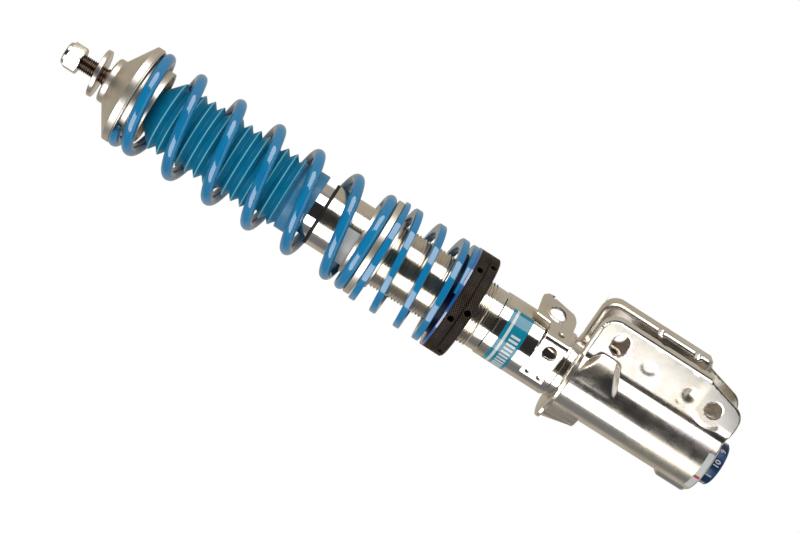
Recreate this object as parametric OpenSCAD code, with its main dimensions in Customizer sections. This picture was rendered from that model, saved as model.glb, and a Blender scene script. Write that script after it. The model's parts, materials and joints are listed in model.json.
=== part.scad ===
// Inverted monotube coilover strut, modelled at full droop length less a small margin.
// The strut axis is Z. The origin is the centre of the upper mount seat, the top face of
// the spring plate's boss. The knuckle bracket's ears point along +X.

/* [Top mounting] */
// Diameter of the threaded top stud
stud_d = 12; // [10:0.5:14]
// Thread pitch of the top stud
stud_pitch = 1.5; // [1.25:0.25:1.75]
// Height of the stud's tip above the seat
stud_top = 33; // [30:0.5:36]
// Diameter of the stem between the spring plate and the damper body
stem_d = 18; // [16:0.5:20]
// Width across flats of the lock nut
nut_af = 19; // [17:1:22]
// Height of the lock nut's underside above the seat
nut_z = 22; // [18:0.5:24]
// Overall height of the lock nut with its nylon collar
nut_h = 13; // [11:0.5:15]
// Outer diameter of the big washer
washer_d = 36; // [30:1:40]
// Thickness of the big washer
washer_t = 3.4; // [2.5:0.1:4]
// Height of the washer's middle above the seat
washer_z = 7.2; // [6:0.1:10]
// Tilt of the loose washer on the stud
washer_tilt = 4.3; // [0:0.1:5]

/* [Spring plate] */
// Diameter of the plate's upper boss
boss_d = 34.6; // [30:0.2:40]
// Height of the straight part of the boss
boss_h = 5.1; // [3:0.1:8]
// Outer diameter of the plate's rim
plate_d = 76; // [74:0.5:80]
// Depth of the rim's upper edge below the seat
rim_top = 18.3; // [16:0.1:20]
// Depth of the main spring's upper seat below the mount seat
spring_seat = 24.3; // [23:0.1:26]
// Outer diameter of the skirt that centres the main spring
skirt_d = 56.2; // [54:0.2:58]
// Depth of the skirt's lower edge
skirt_z = 38.6; // [36:0.1:42]

/* [Main spring] */
// Wire diameter of the main spring
wire_d = 8.5; // [7:0.1:9]
// Outer diameter of the main spring
main_spring_d = 77.3; // [75:0.1:79]
// Axial pitch of the active turns
main_pitch = 32.67; // [30:0.01:34]
// Turns from the start of the upper end coil to the tip of the lower one
main_turns = 7.45; // [7:0.05:7.6]

/* [Bellows] */
// Outer diameter of the bellows' folds
fold_d = 54.4; // [52:0.2:56]
// Diameter at the valleys between the folds
valley_d = 44.4; // [43:0.2:48]
// Number of folds
folds = 14; // [8:1:18]
// Depth of the first fold's peak
fold_z = 49.1; // [48:0.1:51]
// Distance between neighbouring folds
fold_pitch = 7.63; // [7:0.01:7.8]
// Outer diameter of the smooth cuff at the bellows' foot
cuff_d = 51; // [50:0.2:52]
// Depth of the cuff's lower edge
cuff_z = 168.8; // [166:0.2:171]

/* [Damper] */
// Outer diameter of the chromed damper body
body_d = 40; // [36:1:40]
// Bore of the damper body
body_bore = 36; // [32:1:36]
// Depth of the damper body's lower end
body_end = 360; // [350:1:365]
// Diameter of the piston rod
rod_d = 11; // [10:0.5:14]
// Depth of the top of the working piston
piston_z = 300; // [296:1:304]
// Height of the working piston
piston_h = 18; // [14:1:22]
// Depth of the top of the floating piston
floating_z = 120; // [100:1:130]

/* [Housing] */
// Diameter of the housing's plain upper part
neck_d = 47.5; // [47:0.1:48]
// Outer diameter of the housing's thread
tube_d = 50; // [49.5:0.1:50.5]
// Pitch of the housing's thread
tube_pitch = 2.5; // [2:0.1:3]
// Inner bore of the housing
tube_bore = 43; // [42.5:0.1:43.5]
// Diameter of the housing where the bracket holds it
foot_d = 48; // [47:0.1:48.2]
// Depth of the housing's top edge
tube_top = 178.2; // [177:0.1:180]
// Depth where the thread starts
thread_top = 224; // [222:0.5:230]
// Depth where the thread ends
thread_end = 313.4; // [310:0.1:318]
// Depth of the housing's lower end
tube_end = 502.6; // [500:0.1:505]

/* [Divider and helper spring] */
// Outer diameter of the divider ring
divider_d = 76; // [74:0.5:78]
// Depth of the divider's upper face
divider_z = 218.6; // [217:0.1:220]
// Thickness of the divider's rim
divider_t = 5; // [4:0.1:6]
// Outer diameter of the helper spring
helper_d = 79.8; // [78:0.1:80]
// Radial width of the helper spring's flat wire
helper_w = 8; // [6:0.1:9]
// Axial thickness of the helper spring's flat wire
helper_t = 5.3; // [4.5:0.1:5.6]
// Axial pitch of the helper's active turns
helper_pitch = 19.8; // [18:0.1:20]

/* [Perch and collars] */
// Outer diameter of the perch and both collars
collar_d = 81; // [79:0.5:83]
// Depth of the perch's upper face
perch_z = 285.05; // [285:0.05:286]
// Depth of the joint between perch and collar
collar_z = 287; // [286.5:0.1:288]
// Height of the adjuster collar
collar_h = 8.2; // [7:0.1:10]
// Height of the lock ring
lock_h = 7.5; // [6:0.1:9]
// Diameter of the spanner holes
spanner_d = 4.7; // [4:0.1:5]

/* [Knuckle bracket] */
// Sheet thickness of the bracket
sheet_t = 2.4; // [2:0.1:3]
// Distance between the ears' outer faces
ear_span = 32; // [30:0.5:36]
// Reach of the ears' edge from the strut axis
ear_reach = 59; // [55:0.5:60]
// Depth of the bracket's top edge
bracket_top = 382.4; // [381:0.1:384]
// Height of the stiffening flange above the ears' sheet
flange_h = 11; // [5:0.5:12]
// Diameter of the clamping bolts' holes
bolt_d = 12.2; // [12:0.1:13]
// Depth of the upper slot's centre
slot_z = 402.9; // [402:0.1:404]
// Distance of the upper slot's centre from the axis
slot_x = 41; // [40:0.1:42]
// Full length of the upper slot
slot_len = 16; // [14:0.5:18]
// Depth of the lower hole's centre
hole_z = 483.45; // [482:0.05:485]
// Distance of the lower hole's centre from the axis
hole_x = 37.4; // [36:0.1:38]

/* [Hose bracket] */
// Direction that the hose bracket faces, turned from -Y
hose_turn = 0; // [-5:1:15]
// Sheet thickness of the hose bracket
hose_t = 2; // [1.5:0.1:2.2]
// Diameter of the hose clip hole
hose_hole_d = 12.8; // [12:0.1:13.5]
// Angle between the hose bracket's face and its arm
hose_bend = 69; // [60:1:75]

/* [Adjuster] */
// Diameter of the adjuster knob
knob_d = 34; // [30:0.5:36]
// Height of the knob that stands out of the housing
knob_h = 10; // [8:0.5:12]

/* [Hidden] */
$fn = 96;
run_fit = 0.05;           // radial clearance of a running fit
gap = 0.3;                // clearance between faces that move past each other
seat_fit = 0.02;          // clearance of pieces that are fixed on a shaft or in a bore
camera_side = 17;         // turn of the coils' starts and labels from the +X axis
stud_r = stud_d / 2;
body_r = body_d / 2;
bore_r = body_bore / 2;
rod_r = rod_d / 2;
tube_r = tube_d / 2;
foot_r = foot_d / 2;
perch_bore_r = tube_r + 0.35;
plug_depth = 18;          // length of the base plug in the housing
needle_r = 2;             // radius of the metering needle in the hollow rod
boss_edge_r = 2;          // rounding of the spring plate's boss
band_r = 29.6;            // radius of the band that centres the main spring's end coil
stem_r = stem_d / 2;
stem_top = 12;            // depth of the stem's shoulder that carries the spring plate
cap_z = 45;               // depth of the cap that closes the damper body
cap_low = cap_z + 12.5;   // depth of the cap's lower face
boot_z = 34.6;            // depth where the bellows' cone leaves its collar on the stem
wrap_flange_h = 7;        // height of the flange round the bracket's wrap
grind_turns = 0.41;       // part of a turn over which a spring's end is ground
guide_top = body_end - 17;
wrap_r = foot_r + 0.05 + sheet_t;
ear_y = ear_span / 2;
ear_foot_x = 20;          // where the ears leave the wrap
ear_low = 466;            // depth where the ears' flange ends
join = 1;                 // overlap of pieces of sheet that are joined
corner_r = 13;            // radius of the ears' upper outer corner
pad_r = 13.5;             // radius of the raised pad round the lower bolt hole
pad_h = 0.8;              // height of that pad
lug_reach = 39.5;         // reach of the lug on the side away from the ears
ball_r = 1.5;             // radius of the adjuster's detent ball
detent_x = 14.5;          // distance of the detent ball from the axis

// ---------- shared shapes ----------

// A ring between two depths
module ring(r_out, r_in, z_top, z_low) {
    translate([0, 0, -z_low]) difference() {
        cylinder(r = r_out, h = z_low - z_top);
        translate([0, 0, -1]) cylinder(r = r_in, h = z_low - z_top + 2);
    }
}

// A solid bar between two depths
module bar(r, z_top, z_low) translate([0, 0, -z_low]) cylinder(r = r, h = z_low - z_top);

// Part of a thin sleeve, from one angle to another
module sleeve_part(r_in, thick, z_top, z_low, a_from, a_to)
    rotate([0, 0, a_from]) translate([0, 0, -z_low])
        rotate_extrude(angle = a_to - a_from)
            translate([r_in, 0]) square([thick, z_low - z_top]);

// Saw-tooth outline of a thread, as rings: radius and depth of each corner, going down
function thread_points(r_major, r_minor, z_top, z_low, pitch) =
    [for (z = [z_top : pitch : z_low - pitch]) each
        [[r_minor, -z], [r_major, -z - pitch * 0.45], [r_major, -z - pitch * 0.55]]];

// Drop of a coil's wire below its start after t turns: closed end coils, then an even pitch
function ramp_turns(t, from, to) = t <= from ? 0
    : t >= to ? t - (from + to) / 2
    : (t - from) * (t - from) / (2 * (to - from));
function coil_drop(t, pitch, opening, closing) = pitch
    * (ramp_turns(t, opening[0], opening[1]) - ramp_turns(t, closing[0], closing[1]));

// Share of the grinding at a distance in turns from a coil's tip
function grind_share(turns) = pow(max(0, 1 - turns / grind_turns), 2);

// A wire swept round Z. Section points are [radial, axial] offsets; opening and closing are
// the turns between which the pitch grows from nothing and falls back to it. The ends are
// bent towards their seats and ground flat, which takes grind off the wire at the tips
module coil(mean_r, section, z_start, t_from, t_to, start_angle, steps, pitch, opening,
            closing, grind) {
    n = len(section);
    rings = ceil((t_to - t_from) * steps);
    half = max([for (p = section) p[1]]);
    z_high = z_start + half;
    z_low = z_start - coil_drop(t_to, pitch, opening, closing) - half;
    points = [for (i = [0 : rings])
        let (t = t_from + (t_to - t_from) * i / rings,
             a = start_angle - 360 * t,
             bent = grind * (grind_share(t - t_from) - grind_share(t_to - t)),
             z = z_start - coil_drop(t, pitch, opening, closing) + bent)
        for (p = section) [(mean_r + p[0]) * cos(a), (mean_r + p[0]) * sin(a),
            min(max(z + p[1], z_low), z_high)]];
    sides = [for (i = [0 : rings - 1], k = [0 : n - 1])
        let (a = i * n + k, b = i * n + (k + 1) % n) each [[a, b, b + n], [a, b + n, a + n]]];
    caps = [[for (k = [n - 1 : -1 : 0]) k], [for (k = [0 : n - 1]) rings * n + k]];
    polyhedron(points, concat(sides, caps), convexity = 10);
}

// ---------- housing and what is fixed to it ----------

module strut_tube() color("silver") rotate_extrude() polygon(concat(
    [[tube_bore / 2, -tube_top], [neck_d / 2, -tube_top], [neck_d / 2, -thread_top]],
    thread_points(tube_r, tube_r - 0.9, thread_top, thread_end, tube_pitch),
    [[tube_r - 0.9, -thread_end], [tube_r - 0.9, -thread_end - 6], [tube_r, -thread_end - 6.9],
     [tube_r, -bracket_top + 6], [foot_r, -bracket_top + 5.5], [foot_r, -tube_end],
     [tube_bore / 2, -tube_end]]));

module base_plug() color("dimgray") difference() {
    bar(tube_bore / 2, tube_end - plug_depth, tube_end);
    bar(rod_r + seat_fit, tube_end - plug_depth - 1, tube_end + 1);
    bar(12, tube_end - plug_depth + 8, tube_end + 1);
    translate([detent_x, 0, -tube_end - 1]) cylinder(r = ball_r + 0.1, h = 6);
}

// Upper part of an ear in the X-Z plane, with its top and outer edges drawn in by inset
module ear_sheet(inset, x_from, z_low) {
    x_in = ear_reach - corner_r;
    z_in = -bracket_top - corner_r;
    translate([x_from, -z_low]) square([x_in - x_from, z_low - bracket_top - inset]);
    translate([x_from, -z_low]) square([ear_reach - inset - x_from, z_low + z_in]);
    translate([x_in, z_in]) circle(r = corner_r - inset);
}

// Whole outline of an ear, with its sloping lower edge and rounded lower corner
module ear_outline() {
    ear_sheet(0, ear_foot_x, ear_low);
    polygon([[ear_foot_x, -ear_low + join], [ear_reach, -ear_low + join],
        [ear_reach, -ear_low], [52.5, -477], [47.5, -495], [43, -500.5], [38.8, -503],
        [34.4, -504.5], [ear_foot_x, -504.5]]);
}

// Band that follows the ear's top edge, outer corner and outer edge
module flange_outline() difference() {
    ear_sheet(0, ear_foot_x, ear_low);
    ear_sheet(sheet_t, ear_foot_x - 1, ear_low + 1);
}

// One ear with its flange, at +Y
module ear() {
    translate([0, ear_y, 0]) rotate([90, 0, 0]) linear_extrude(sheet_t) ear_outline();
    translate([0, ear_y + flange_h, 0]) rotate([90, 0, 0]) linear_extrude(flange_h + join)
        flange_outline();
    translate([hole_x, ear_y + pad_h, -hole_z]) rotate([90, 0, 0])
        cylinder(r = pad_r, h = pad_h + join);
}

module knuckle_bracket() color("lightgray") difference() {
    ear_turn = asin((ear_y - sheet_t) / (wrap_r - sheet_t));
    lug_in = lug_reach - wrap_r + 1.8;
    union() {
        sleeve_part(wrap_r - sheet_t, sheet_t, bracket_top, tube_end, ear_turn, 360 - ear_turn);
        sleeve_part(wrap_r - join, wrap_flange_h + join, bracket_top, bracket_top + sheet_t,
            ear_turn + 7.5, 352.5 - ear_turn);
        ear();
        mirror([0, 1, 0]) ear();
        translate([-lug_reach, -8, -bracket_top - sheet_t - 3.2]) cube([lug_in, 16, sheet_t]);
        translate([-lug_reach, sheet_t / 2, 0]) rotate([90, 0, 0]) linear_extrude(sheet_t)
            polygon([[0, -bracket_top - 4], [lug_in, -bracket_top - 4],
                [lug_in, -bracket_top - 30], [5, -bracket_top - 22]]);
        sleeve_part(wrap_r - join, 2.1 + join, tube_end - 20, tube_end - 0.6, 165, 195);
    }
    for (x = [-1, 1] * (slot_len - bolt_d) / 2) translate([slot_x + x, 0, -slot_z])
        rotate([90, 0, 0]) cylinder(d = bolt_d, h = 2 * ear_y + 2, center = true);
    translate([slot_x, 0, -slot_z])
        cube([slot_len - bolt_d, 2 * ear_y + 2, bolt_d], center = true);
    translate([hole_x, 0, -hole_z]) rotate([90, 0, 0])
        cylinder(d = bolt_d, h = 2 * ear_y + 8, center = true);
}

// Sheet bracket for a brake hose: a face plate on the housing and an arm with the clip hole
module hose_bracket() color("silver") rotate([0, 0, hose_turn]) {
    face_y = -tube_r - 0.2;
    difference() {
        translate([0, face_y, 0]) rotate([90, 0, 0]) linear_extrude(hose_t)
            polygon([[-11, -371.5], [21.8, -373.4], [21.8, -354.5], [-11, -352.6]]);
        translate([11.8, face_y + 1, -363.6]) rotate([90, 0, 0]) linear_extrude(hose_t + 2)
            difference() {
                circle(r = 5.1);
                translate([-8, -6]) square([3.6, 12]);
            }
    }
    translate([21.8, face_y - hose_t, 0]) rotate([0, 0, hose_bend]) rotate([90, 0, 0])
        translate([0, 0, -hose_t]) linear_extrude(hose_t) difference() {
            polygon([[0, -354.6], [14.5, -353.5], [15.9, -342], [38.5, -341.5],
                [42.5, -345.5], [36.5, -367.2], [29.5, -371], [17, -371.3], [0, -373.3]]);
            translate([26.3, -356.3]) circle(d = hose_hole_d);
            translate([8, -364]) circle(r = 2.8);
        }
}

module upper_bush() color("saddlebrown")
    ring(tube_bore / 2, body_r + run_fit, tube_top + 6, tube_top + 26);

module lower_bush() color("saddlebrown")
    ring(tube_bore / 2, body_r + run_fit, 290, 310);

module wiper_seal() color("black") {
    ring(24.1, body_r + run_fit, tube_top - 2.1, tube_top);
    ring(tube_bore / 2, body_r + run_fit, tube_top - join, tube_top + 5);
}

module piston_rod() color("gainsboro")
    ring(rod_r, needle_r + run_fit, piston_z - 8, tube_end - 6);

module working_piston() color("goldenrod")
    ring(bore_r - 0.6, rod_r + seat_fit, piston_z, piston_z + piston_h);

module piston_band() color("black")
    ring(bore_r - run_fit, bore_r - 0.6, piston_z + 3, piston_z + piston_h - 3);

module shim_stack() color("silver") for (side = [0, 1])
    for (i = [0 : 4]) {
        z = side == 0 ? piston_z - 0.3 * (i + 1) : piston_z + piston_h + 0.3 * i;
        ring(14 - i * 1.3, rod_r + seat_fit, z, z + 0.28);
    }

module piston_nut() color("dimgray") difference() {
    translate([0, 0, -piston_z + 1.6]) cylinder(d = 17 / cos(30), h = 6, $fn = 6);
    bar(rod_r + seat_fit, piston_z - 9, piston_z);
}

module bump_stop() color("gold")
    ring(16, rod_r + 0.1, tube_end - plug_depth - 11, tube_end - plug_depth);

module rod_foot_nut() color("dimgray") difference() {
    translate([0, 0, -tube_end + 3]) cylinder(d = 17 / cos(30), h = 7, $fn = 6);
    bar(rod_r + seat_fit, tube_end - 12, tube_end - 1);
}

module tube_label() color("teal")
    sleeve_part(tube_r, 0.15, 327.3, 344, camera_side - 270, camera_side - 48);

module housing_label() color("whitesmoke")
    sleeve_part(neck_d / 2, 0.15, 193, 214, camera_side - 168, camera_side - 84);

module indicator_strip() color("lightgray")
    sleeve_part(wrap_r, 0.15, 497, 501.8, camera_side - 156, camera_side - 80);

module detent_ball() color("silver")
    translate([detent_x, 0, -tube_end + ball_r]) sphere(r = ball_r, $fn = 48);

// ---------- spring seats ----------

module spring_perch() color("royalblue") {
    ring(collar_d / 2, perch_bore_r, perch_z, collar_z);
    ring(31, perch_bore_r, perch_z - 7, perch_z + join);
    ring(34, perch_bore_r, collar_z - join, collar_z + 3);
}

// Radial spanner holes round a ring
module spanner_holes(z, first) for (i = [0 : 5])
    rotate([0, 0, first + 60 * i]) translate([collar_d / 2 - 6, 0, -z])
        rotate([0, 90, 0]) cylinder(d = spanner_d, h = 12);

module adjuster_collar() color([0.1, 0.09, 0.09]) difference() {
    ring(collar_d / 2, perch_bore_r, collar_z, collar_z + collar_h);
    bar(34 + gap, collar_z - 1, collar_z + 3 + gap);
    spanner_holes(collar_z + collar_h / 2, camera_side - 109.5);
}

module lock_ring() color([0.1, 0.09, 0.09]) difference() {
    top = collar_z + collar_h + 0.05;
    ring(collar_d / 2, perch_bore_r, top, top + lock_h);
    spanner_holes(top + lock_h / 2, camera_side - 96);
}

module helper_spring() color("steelblue") coil(
    mean_r = (helper_d - helper_w) / 2,
    section = [for (p = [[1, 1], [-1, 1], [-1, -1], [1, -1]])
        [p[0] * helper_w / 2, p[1] * helper_t / 2]],
    z_start = -divider_z - divider_t - helper_t / 2 - 0.05, t_from = -0.12, t_to = 4.236,
    start_angle = camera_side, steps = 36, pitch = helper_pitch,
    opening = [0.28, 0.88], closing = [2.81, 4.01], grind = 3.3);

module divider_ring() color("silver") {
    low = divider_z + divider_t;
    ring(divider_d / 2, perch_bore_r, divider_z, low);
    ring(27.5, perch_bore_r, divider_z - 10.6, divider_z + join);
    ring(27.5, perch_bore_r, low - join, low + 7.5);
}

module main_spring() color("steelblue") coil(
    mean_r = (main_spring_d - wire_d) / 2,
    section = [for (k = [0 : 9]) wire_d / 2 * [cos(36 * k), sin(36 * k)]],
    z_start = -spring_seat - wire_d / 2 - 0.05, t_from = -0.11, t_to = main_turns - 0.11,
    start_angle = 180 + camera_side, steps = 24, pitch = main_pitch,
    opening = [0.4, 0.98], closing = [6.08, 6.66], grind = 3.8);

// ---------- sprung half of the damper ----------

module damper_tube() color("gainsboro") ring(body_r, bore_r, cap_z + 2.5, body_end);

module top_stud() color("dimgray") rotate_extrude() polygon(concat(
    [[2.5, -cap_low], [bore_r, -cap_low], [bore_r, -cap_z - 2.5], [body_r, -cap_z - 2.5],
     [body_r, -cap_z - 1.5], [body_r - 1.5, -cap_z], [stem_r, -cap_z], [stem_r, -stem_top],
     [stud_r, -stem_top], [stud_r, 2]],
    [for (z = [2 : stud_pitch : nut_z + nut_h - 4]) each
        [[stud_r - 0.5, z + 0.1], [stud_r, z + stud_pitch * 0.5]]],
    [[stud_r - 0.6, stud_top], [0, stud_top], [0, -cap_low + 8], [2.5, -cap_low + 8]]));

module spring_plate() color("silver") rotate_extrude() polygon(concat(
    [[stud_r + run_fit, -stem_top], [stud_r + run_fit, 0]],
    [for (a = [90 : -15 : 0])
        [boss_d / 2 - boss_edge_r * (1 - cos(a)), -boss_edge_r * (1 - sin(a))]],
    [[boss_d / 2, -boss_h], [plate_d / 2, -rim_top], [plate_d / 2, -spring_seat],
     [band_r, -spring_seat], [band_r, -spring_seat - 4], [skirt_d / 2, -spring_seat - 5],
     [skirt_d / 2, -skirt_z], [skirt_d / 2 - 3, -skirt_z],
     [skirt_d / 2 - 3, -spring_seat - 4], [stem_r + 3, -stem_top - 2],
     [stem_r + 3, -stem_top]]));

module bellows() color("teal") rotate_extrude() polygon(concat(
    [[stem_r + seat_fit, -boot_z + 4], [stem_r + 1.6, -boot_z + 4], [stem_r + 1.6, -boot_z]],
    [for (i = [0 : folds - 1]) each
        [[fold_d / 2, -fold_z - i * fold_pitch],
         [valley_d / 2, -fold_z - (i + 0.5) * fold_pitch]]],
    [[cuff_d / 2, -fold_z - (folds - 0.4) * fold_pitch], [cuff_d / 2, -cuff_z],
     [cuff_d / 2 - 1, -cuff_z], [cuff_d / 2 - 1, -fold_z - (folds - 0.3) * fold_pitch]],
    [for (i = [folds - 1 : -1 : 0]) each
        [[valley_d / 2 - 1.2, -fold_z - (i + 0.5) * fold_pitch],
         [fold_d / 2 - 1.2, -fold_z - i * fold_pitch]]],
    [[stem_r + seat_fit, -boot_z]]));

module rod_guide() color("goldenrod")
    ring(bore_r, rod_r + run_fit, guide_top + 3, body_end - 2);

module rod_seal() color("black")
    ring(bore_r, rod_r + run_fit, guide_top, guide_top + 3);

module guide_circlip() color("dimgray") ring(bore_r, 15, body_end - 2, body_end - 0.5);

module floating_piston() color("goldenrod") difference() {
    bar(bore_r - run_fit, floating_z, floating_z + 15);
    bar(12, floating_z - 1, floating_z + 9);
    ring(bore_r + 1, bore_r - 2.2, floating_z + 6, floating_z + 9);
}

module floating_piston_seal() color("black")
    ring(bore_r - run_fit, bore_r - 2.2, floating_z + 6, floating_z + 9);

module gas_screw() color("dimgray") bar(2.5, cap_low - 7, cap_low);

// ---------- adjuster ----------

module adjuster_knob() color("navy") rotate_extrude() polygon([
    [0, -tube_end + 2], [3.5, -tube_end + 2], [3.5, -tube_end - 0.1],
    [knob_d / 2, -tube_end - 0.1], [knob_d / 2, -tube_end - knob_h + 0.8],
    [knob_d / 2 - 0.8, -tube_end - knob_h], [9, -tube_end - knob_h],
    [8.5, -tube_end - knob_h + 1], [0, -tube_end - knob_h + 1]]);

module adjuster_needle() color("silver") {
    bar(needle_r, tube_end - 120, tube_end - 3);
    translate([0, 0, -tube_end + 120]) cylinder(r1 = needle_r, r2 = 0.3, h = 9);
}

// ---------- loose top hardware ----------

module top_washer() color("silver") translate([0, 0, washer_z])
    rotate([0, 0, camera_side]) rotate([0, -washer_tilt, 0]) difference() {
        cylinder(d = washer_d, h = washer_t, center = true);
        cylinder(r = stud_r + 0.65, h = washer_t + 1, center = true);
    }

module top_nut() color("silver") difference() {
    union() {
        rotate([0, 0, camera_side - 22]) translate([0, 0, nut_z])
            cylinder(d = nut_af / cos(30), h = nut_h - 2.5, $fn = 6);
        translate([0, 0, nut_z]) cylinder(d = nut_af - 1.8, h = nut_h);
    }
    translate([0, 0, nut_z - 1]) cylinder(r = stud_r + run_fit, h = nut_h + 2);
    translate([0, 0, nut_z + nut_h - 4]) cylinder(r = stud_r + 2, h = 3);
}

module nut_insert() color("white") translate([0, 0, nut_z + nut_h - 3.95]) difference() {
    cylinder(r = stud_r + 1.95, h = 2.9);
    translate([0, 0, -1]) cylinder(r = stud_r + run_fit, h = 5);
}

strut_tube();
base_plug();
knuckle_bracket();
hose_bracket();
upper_bush();
lower_bush();
wiper_seal();
piston_rod();
working_piston();
piston_band();
shim_stack();
piston_nut();
bump_stop();
rod_foot_nut();
tube_label();
housing_label();
indicator_strip();
detent_ball();
spring_perch();
adjuster_collar();
lock_ring();
helper_spring();
divider_ring();
main_spring();
damper_tube();
top_stud();
spring_plate();
bellows();
rod_guide();
rod_seal();
guide_circlip();
floating_piston();
floating_piston_seal();
gas_screw();
adjuster_knob();
adjuster_needle();
top_washer();
top_nut();
nut_insert();
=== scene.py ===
"""Looks of the coilover strut: detailed pieces, materials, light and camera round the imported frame.

Lengths in this script are millimetres in the frame's own axes; build() turns them into metres.
"""
import json
import math

import bmesh
import bpy
import numpy as np
from mathutils import Matrix, Vector, kdtree, noise
from mathutils.geometry import delaunay_2d_cdt


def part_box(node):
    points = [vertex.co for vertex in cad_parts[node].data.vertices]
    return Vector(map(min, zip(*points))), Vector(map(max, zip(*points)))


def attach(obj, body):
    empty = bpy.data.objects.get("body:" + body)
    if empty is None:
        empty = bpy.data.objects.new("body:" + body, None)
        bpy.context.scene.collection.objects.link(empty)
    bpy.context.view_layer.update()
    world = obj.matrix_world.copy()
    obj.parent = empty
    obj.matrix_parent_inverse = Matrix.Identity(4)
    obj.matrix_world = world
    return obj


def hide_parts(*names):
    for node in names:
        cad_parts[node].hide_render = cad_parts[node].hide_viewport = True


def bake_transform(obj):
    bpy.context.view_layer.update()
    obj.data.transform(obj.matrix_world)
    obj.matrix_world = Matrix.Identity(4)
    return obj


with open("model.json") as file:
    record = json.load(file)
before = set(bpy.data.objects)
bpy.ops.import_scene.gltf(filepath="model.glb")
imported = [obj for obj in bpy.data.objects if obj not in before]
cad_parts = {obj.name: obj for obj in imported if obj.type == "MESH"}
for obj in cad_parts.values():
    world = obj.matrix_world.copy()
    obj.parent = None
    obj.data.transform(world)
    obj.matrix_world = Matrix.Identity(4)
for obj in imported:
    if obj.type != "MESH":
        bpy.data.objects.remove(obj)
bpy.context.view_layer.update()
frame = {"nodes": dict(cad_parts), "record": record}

MM = 0.001
NEAR = -73.0          # direction round the axis that the camera looks from, in degrees from +X
HOUSING = "strut_housing"
PERCH = "spring_perch"
UPPER = "damper_upper"
NECK_R = 23.75        # the housing's plain neck
RING_BORE = 25.35     # bore of the rings that slide or turn on the housing
FILM = 0.14           # thickness of the labels


# ---------------------------------------------------------------- materials

def linear(hex_colour):
    """A hex colour as linear RGBA."""
    parts = [int(hex_colour[i:i + 2], 16) / 255 for i in (0, 2, 4)]
    return tuple(p / 12.92 if p < 0.04045 else ((p + 0.055) / 1.055) ** 2.4 for p in parts) + (1,)


class Graph:
    """A node tree with short ways to add to it; a colour may be a hex string."""

    def __init__(self, tree, coordinates):
        self.nodes = tree.nodes
        self.links = tree.links
        self.here = self.nodes.new("ShaderNodeTexCoord").outputs[coordinates]

    def put(self, value, socket):
        if isinstance(value, bpy.types.NodeSocket):
            self.links.new(value, socket)
        else:
            socket.default_value = linear(value) if isinstance(value, str) else value

    def math(self, operation, *values):
        node = self.nodes.new("ShaderNodeMath")
        node.operation = operation
        for value, socket in zip(values, node.inputs):
            self.put(value, socket)
        return node.outputs[0]

    def times(self, a, b):
        return self.math("MULTIPLY", a, b)

    def axes(self):
        node = self.nodes.new("ShaderNodeSeparateXYZ")
        self.put(self.here, node.inputs[0])
        return node.outputs

    def turn(self):
        """Direction round the axis, from +X."""
        x, y, _ = self.axes()
        return self.math("ARCTAN2", y, x)

    def radius(self):
        """Distance from the axis."""
        x, y, _ = self.axes()
        return self.math("SQRT", self.math("ADD", self.times(x, x), self.times(y, y)))

    def span(self, value, low, high, to_low=0.0, to_high=1.0):
        """The value with low to high drawn out to to_low to to_high, and held there."""
        node = self.nodes.new("ShaderNodeMapRange")
        self.put(value, node.inputs["Value"])
        for name, number in (("From Min", low), ("From Max", high),
                             ("To Min", to_low), ("To Max", to_high)):
            node.inputs[name].default_value = number
        return node.outputs["Result"]


class Paint(Graph):
    """A Principled material, with short ways to add procedural detail to it."""

    def __init__(self, name, **sockets):
        self.material = bpy.data.materials.new(name)
        self.material.use_nodes = True
        super().__init__(self.material.node_tree, "Object")
        self.shader = self.nodes["Principled BSDF"]
        for socket, value in sockets.items():
            self.shader.inputs[socket.replace("_", " ")].default_value = value

    def vector(self, x, y, z):
        node = self.nodes.new("ShaderNodeCombineXYZ")
        for value, socket in zip((x, y, z), node.inputs):
            self.put(value, socket)
        return node.outputs[0]

    def rings(self):
        """Coordinates that are the same all round the axis, for marks left by turning."""
        return self.vector(self.radius(), 0.0, self.axes()[2])

    def stretched(self, x, y, z):
        node = self.nodes.new("ShaderNodeMapping")
        self.put(self.here, node.inputs["Vector"])
        node.inputs["Scale"].default_value = (x, y, z)
        return node.outputs[0]

    def noise(self, scale, where=None, detail=4.0, rough=0.55):
        node = self.nodes.new("ShaderNodeTexNoise")
        self.put(self.here if where is None else where, node.inputs["Vector"])
        node.inputs["Scale"].default_value = scale
        node.inputs["Detail"].default_value = detail
        node.inputs["Roughness"].default_value = rough
        return node.outputs["Fac"]

    def mix(self, share, a, b):
        node = self.nodes.new("ShaderNodeMix")
        node.data_type = "RGBA"
        self.put(share, node.inputs["Factor"])
        self.put(a, node.inputs["A"])
        self.put(b, node.inputs["B"])
        return next(o for o in node.outputs if o.type == "RGBA")

    def bump(self, height, depth, under=None):
        """Bump of depth millimetres for a height between 0 and 1."""
        node = self.nodes.new("ShaderNodeBump")
        node.inputs["Strength"].default_value = 1.0
        node.inputs["Distance"].default_value = depth * MM
        self.put(height, node.inputs["Height"])
        if under is not None:
            self.put(under, node.inputs["Normal"])
        return node.outputs["Normal"]

    def colour(self, value):
        self.put(value, self.shader.inputs["Base Color"])

    def rough(self, value, low, high):
        """Roughness from low to high, for a noise whose middle range is 0.3 to 0.7."""
        self.put(self.span(value, 0.3, 0.7, low, high), self.shader.inputs["Roughness"])

    def normal(self, value):
        self.put(value, self.shader.inputs["Normal"])


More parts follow.
